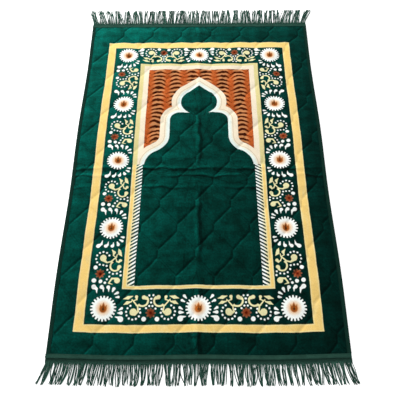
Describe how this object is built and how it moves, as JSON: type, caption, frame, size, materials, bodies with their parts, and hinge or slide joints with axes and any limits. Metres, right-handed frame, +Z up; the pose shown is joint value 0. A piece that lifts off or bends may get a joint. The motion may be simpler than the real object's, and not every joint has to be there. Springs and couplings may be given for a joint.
{
  "type": "prayer rug",
  "caption": "Padded velvet prayer rug lying flat, with a quilted face, ribbed tape on its edges and a yarn fringe at each end.",
  "frame": {"origin": "on the floor, under the middle of the whole rug, fringes included", "axes": "+Y along the rug, towards the point of the niche; +X across it to the right; +Z up from the floor"},
  "size_m": [0.7438, 1.2436, 0.0101],
  "materials": {
    "velvet": "short dense velvet pile, deep green with a printed niche and borders",
    "tape_cloth": "matt ribbed woven tape, grey green",
    "yarn": "matt loose twisted yarn, grey green"
  },
  "bodies": {
    "root": {"rug_body": "velvet", "side_binding_left": "tape_cloth", "side_binding_right": "tape_cloth", "end_tape_front": "tape_cloth", "end_tape_back": "tape_cloth", "fringe_front": "yarn", "fringe_back": "yarn"}
  },
  "joints": []
}
